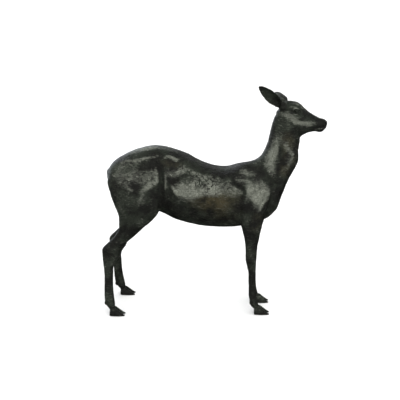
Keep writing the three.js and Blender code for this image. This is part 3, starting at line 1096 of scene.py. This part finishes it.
@dataclass(frozen=True)
class PatinatedBronze:
    """Cast bronze under a dark green-brown patina, painted paler with highlights on its raised forms.

    A span is the two ends that a noise is stretched between. dark_metal and pale_metal are how
    metallic the darkest and the palest patina are. The patina is duller by blotch_dullness where a
    blotch is full, and glossier by pale_gloss where it is painted pale.
    """

    dark: Colour = (0.014, 0.0145, 0.012, 1.0)
    green: Colour = (0.03, 0.036, 0.026, 1.0)
    brown: Colour = (0.085, 0.072, 0.038, 1.0)
    pale: Colour = (0.215, 0.226, 0.185, 1.0)
    green_span: tuple[float, float] = (0.42, 0.62)
    brown_span: tuple[float, float] = (0.36, 0.6)
    pale_span: tuple[float, float] = (0.1, 1.1)
    crease_span: tuple[float, float] = (0.04, 0.008)
    mean_height: float = 0.36
    mark_contrast: float = 2.4
    hair_share: float = 0.55
    roughness: float = 0.24
    blotch_dullness: float = 0.24
    pale_gloss: float = 0.14
    dark_metal: float = 0.7
    pale_metal: float = 0.4
    mark_depth: float = 0.007

    def tooling(self) -> bpy.types.ShaderNodeTree:
        """Makes the group of scratchy, hair-like tool marks.

        Returns:
            A group from a position to the marks' height, to soft blotches and to fine creases.
        """
        tree = bpy.data.node_groups.new("hand_tooling", "ShaderNodeTree")
        tree.interface.new_socket("Position", in_out="INPUT", socket_type="NodeSocketVector")
        tree.interface.new_socket("Height", in_out="OUTPUT", socket_type="NodeSocketFloat")
        tree.interface.new_socket("Blotches", in_out="OUTPUT", socket_type="NodeSocketFloat")
        tree.interface.new_socket("Creases", in_out="OUTPUT", socket_type="NodeSocketFloat")
        board = NodeBoard(tree)
        start = board.add("NodeGroupInput")
        end = board.add("NodeGroupOutput")
        stretch = board.add("ShaderNodeMapping", Rotation=(0.0, math.radians(18), 0.0), Scale=(1.0, 1.0, 2.6))
        hair = board.add("ShaderNodeTexNoise", Scale=95.0, Detail=5.0, Roughness=0.62, Distortion=0.9)
        marks = board.add("ShaderNodeTexNoise", Scale=36.0, Detail=4.0, Roughness=0.6, Distortion=1.4)
        blotch = board.add("ShaderNodeTexNoise", Scale=14.0, Detail=5.0, Roughness=0.62)
        wander = board.add("ShaderNodeTexNoise", Scale=34.0, Detail=3.0, Roughness=0.55, Distortion=0.6)
        board.join(start.outputs[0], wander.inputs["Vector"])
        board.join(start.outputs[0], stretch.inputs[0])
        board.join(stretch.outputs[0], hair.inputs["Vector"])
        board.join(stretch.outputs[0], marks.inputs["Vector"])
        board.join(start.outputs[0], blotch.inputs["Vector"])
        ridge = board.math("ABSOLUTE", board.math("SUBTRACT", marks.outputs[0], 0.5))
        height = board.math("ADD", board.math("MULTIPLY", hair.outputs[0], self.hair_share), ridge)
        board.join(height, end.inputs["Height"])
        board.join(blotch.outputs[0], end.inputs["Blotches"])
        line = board.math("ABSOLUTE", board.math("SUBTRACT", wander.outputs[0], 0.5))
        board.join(board.span(line, *self.crease_span), end.inputs["Creases"])
        return tree

    def material(self) -> bpy.types.Material:
        """Makes the finished material, which reads the skin's painted light and wear, its warmth and its
        scratches.

        Returns:
            The material.
        """
        made = bpy.data.materials.new("patinated_bronze")
        made.use_nodes = True
        board = NodeBoard(made.node_tree)
        shader = board.add("ShaderNodeBsdfPrincipled")
        out = board.add("ShaderNodeOutputMaterial")
        board.join(shader.outputs[0], out.inputs[0])
        place = board.add("ShaderNodeTexCoord")
        marks = board.add("ShaderNodeGroup")
        marks.node_tree = self.tooling()
        board.join(place.outputs["Object"], marks.inputs["Position"])
        height, blotches = marks.outputs["Height"], marks.outputs["Blotches"]
        # The painted highlights and painted shade, with the tone of the skin's bends, make the patina paler
        # or darker.
        light_and_wear = board.add("ShaderNodeAttribute", attribute_name="painted_light_and_wear")
        greened = board.blend(board.span(blotches, *self.green_span), self.dark, self.green)
        warmth = board.add("ShaderNodeAttribute", attribute_name="warmth")
        warm = board.math("MULTIPLY", warmth.outputs["Fac"], board.span(blotches, *self.brown_span))
        coloured = board.blend(warm, greened, self.brown)
        fine = board.math("MULTIPLY", board.math("SUBTRACT", height, self.mean_height), self.mark_contrast)
        coarse = board.math("SUBTRACT", blotches, 0.5)
        uneven = board.math("ADD", light_and_wear.outputs["Fac"], board.math("ADD", fine, coarse))
        # Painted highlights together with a random mottle decide where the pale patina shows.
        highlit_and_mottled = board.span(uneven, *self.pale_span)
        scratched = board.add("ShaderNodeAttribute", attribute_name="scratches")
        lines = board.math("MULTIPLY", marks.outputs["Creases"], scratched.outputs["Fac"])
        highlit_and_mottled = board.math("MULTIPLY", highlit_and_mottled, board.math("SUBTRACT", 1.0, lines))
        board.join(board.blend(highlit_and_mottled, coloured, self.pale), shader.inputs["Base Color"])
        metal = board.math("MULTIPLY", highlit_and_mottled, self.pale_metal - self.dark_metal)
        board.join(board.math("ADD", metal, self.dark_metal), shader.inputs["Metallic"])
        dull = board.math("MULTIPLY", blotches, self.blotch_dullness)
        dull = board.math("SUBTRACT", dull, board.math("MULTIPLY", highlit_and_mottled, self.pale_gloss))
        board.join(board.math("ADD", dull, self.roughness), shader.inputs["Roughness"])
        bump = board.add("ShaderNodeBump", Strength=1.0, Distance=self.mark_depth)
        board.join(height, bump.inputs["Height"])
        board.join(bump.outputs[0], shader.inputs["Normal"])
        return made


@dataclass(frozen=True)
class Softbox:
    """A soft light: where it hangs, its width and height in metres, its watts and its tint."""

    name: str
    at: tuple[float, float, float]
    size: tuple[float, float]
    power: float
    tint: tuple[float, float, float] = (1.0, 1.0, 1.0)


@dataclass
class Studio:
    """The pale floor, the soft light and the camera, in metres and degrees.

    surround is how bright the world is from straight below, 0, to straight overhead, 1. On the far
    side of the doe it falls to the share surround_back, between the directions of surround_turn.
    """

    azimuth: float = 3.0
    elevation: float = 20.0
    distance: float = 3.3
    target: tuple[float, float, float] = (-0.051, 0.0, 0.512)
    lens: float = 68.58
    sensor: float = 36.0
    softboxes: tuple[Softbox, ...] = (
        Softbox("key_softbox", at=(1.6, -4.2, 2.2), size=(3.6, 1.6), power=45.0),
        Softbox("back_softbox", at=(-2.3, 3.0, 1.4), size=(4.2, 4.4), power=70.0, tint=(0.86, 0.92, 1.0)),
    )
    lights_face: tuple[float, float, float] = (0.0, 0.0, 0.5)
    overhead_strength: float = 3.0
    overhead_angle: float = 80.0
    paper: Colour = (0.86, 0.86, 0.85, 1.0)
    floor_reach: float = 40.0
    backdrop_strength: float = 1.05
    surround: tuple[tuple[float, float], ...] = (
        (0.0, 0.03),
        (0.515, 0.06),
        (0.565, 1.5),
        (0.8, 1.5),
        (0.86, 0.13),
        (1.0, 0.1),
    )
    surround_turn: tuple[float, float] = (0.5, -0.2)
    surround_back: float = 0.3

    def floor(self) -> bpy.types.Object:
        """Lays a wide pale floor.

        Returns:
            The floor.
        """
        sheet = bmesh.new()
        bmesh.ops.create_grid(sheet, x_segments=1, y_segments=1, size=self.floor_reach)
        mesh = bpy.data.meshes.new("studio_floor")
        sheet.to_mesh(mesh)
        sheet.free()
        floor = bpy.data.objects.new("studio_floor", mesh)
        bpy.context.collection.objects.link(floor)
        paint = bpy.data.materials.new("pale_floor")
        paint.use_nodes = True
        board = NodeBoard(paint.node_tree)
        shader = board.add("ShaderNodeBsdfPrincipled", Roughness=0.9)
        shader.inputs["Base Color"].default_value = self.paper
        shader.inputs["Specular IOR Level"].default_value = 0.1
        out = board.add("ShaderNodeOutputMaterial")
        board.join(shader.outputs[0], out.inputs[0])
        mesh.materials.append(paint)
        floor.visible_glossy = False
        return floor

    def light(self, box: Softbox) -> None:
        """Hangs a softbox that faces the doe and doesn't show in the view.

        Args:
            box: the softbox.
        """
        data = bpy.data.lights.new(box.name, "AREA")
        data.shape = "RECTANGLE"
        data.size, data.size_y = box.size
        data.energy = box.power
        data.color = box.tint
        lamp = bpy.data.objects.new(box.name, data)
        lamp.location = box.at
        aim = Vector(self.lights_face) - Vector(box.at)
        lamp.rotation_euler = aim.to_track_quat("-Z", "Y").to_euler()
        lamp.visible_camera = False
        bpy.context.collection.objects.link(lamp)

    def overhead(self) -> None:
        """Adds soft light from above, which keeps the floor pale and doesn't show in the bronze."""
        data = bpy.data.lights.new("overhead_light", "SUN")
        data.energy = self.overhead_strength
        data.angle = math.radians(self.overhead_angle)
        lamp = bpy.data.objects.new("overhead_light", data)
        lamp.visible_glossy = False
        bpy.context.collection.objects.link(lamp)

    def world(self) -> None:
        """Makes the surround that the bronze reflects, and the pale backdrop that the camera sees."""
        world = bpy.data.worlds.new("studio_surround")
        bpy.context.scene.world = world
        world.use_nodes = True
        board = NodeBoard(world.node_tree)
        place = board.add("ShaderNodeTexCoord")
        parts = board.add("ShaderNodeSeparateXYZ")
        ramp = board.add("ShaderNodeValToRGB")
        sky = board.add("ShaderNodeBackground", Strength=1.0)
        backdrop = board.add("ShaderNodeBackground", Color=self.paper, Strength=self.backdrop_strength)
        seen = board.add("ShaderNodeLightPath")
        chosen = board.add("ShaderNodeMixShader")
        out = board.add("ShaderNodeOutputWorld")
        board.join(place.outputs["Generated"], parts.inputs[0])
        board.join(board.math("MULTIPLY_ADD", parts.outputs["Z"], 0.5, 0.5), ramp.inputs[0])
        stops = ramp.color_ramp.elements
        for i, (at, level) in enumerate(self.surround):
            stop = stops[i] if i < 2 else stops.new(at)
            stop.position = at
            stop.color = (level, level, level, 1.0)
        front = board.span(parts.outputs["Y"], *self.surround_turn)
        board.join(ramp.outputs[0], sky.inputs[0])
        strength = board.math("MULTIPLY", front, 1.0 - self.surround_back)
        board.join(board.math("ADD", strength, self.surround_back), sky.inputs[1])
        board.join(seen.outputs["Is Camera Ray"], chosen.inputs[0])
        board.join(sky.outputs[0], chosen.inputs[1])
        board.join(backdrop.outputs[0], chosen.inputs[2])
        board.join(chosen.outputs[0], out.inputs[0])

    def camera(self) -> None:
        """Sets up the camera, turned to the doe."""
        data = bpy.data.cameras.new("camera")
        data.lens = self.lens
        data.sensor_width = self.sensor
        turn, lift = math.radians(self.azimuth), math.radians(self.elevation)
        back = Vector((math.sin(turn) * math.cos(lift), -math.cos(turn) * math.cos(lift), math.sin(lift)))
        camera = bpy.data.objects.new("camera", data)
        camera.location = Vector(self.target) + back * self.distance
        camera.rotation_euler = back.to_track_quat("Z", "Y").to_euler()
        bpy.context.collection.objects.link(camera)
        bpy.context.scene.camera = camera

    def build(self) -> bpy.types.Object:
        """Sets up the whole studio.

        Returns:
            The floor, which belongs to the stage.
        """
        self.camera()
        self.world()
        for box in self.softboxes:
            self.light(box)
        self.overhead()
        bpy.context.scene.view_settings.view_transform = "Standard"
        return self.floor()


def main() -> None:
    """Builds the studio and the casting, and puts the casting in the frame."""
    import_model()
    floor = Studio().build()
    casting = BronzeDeer().build()
    casting.data.materials.append(PatinatedBronze().material())
    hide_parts("bronze_deer")
    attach(casting, "root")
    casting.data.calc_loop_triangles()
    log.info("%s: %d triangles", casting.name, len(casting.data.loop_triangles))


if __name__ == "__main__":
    main()
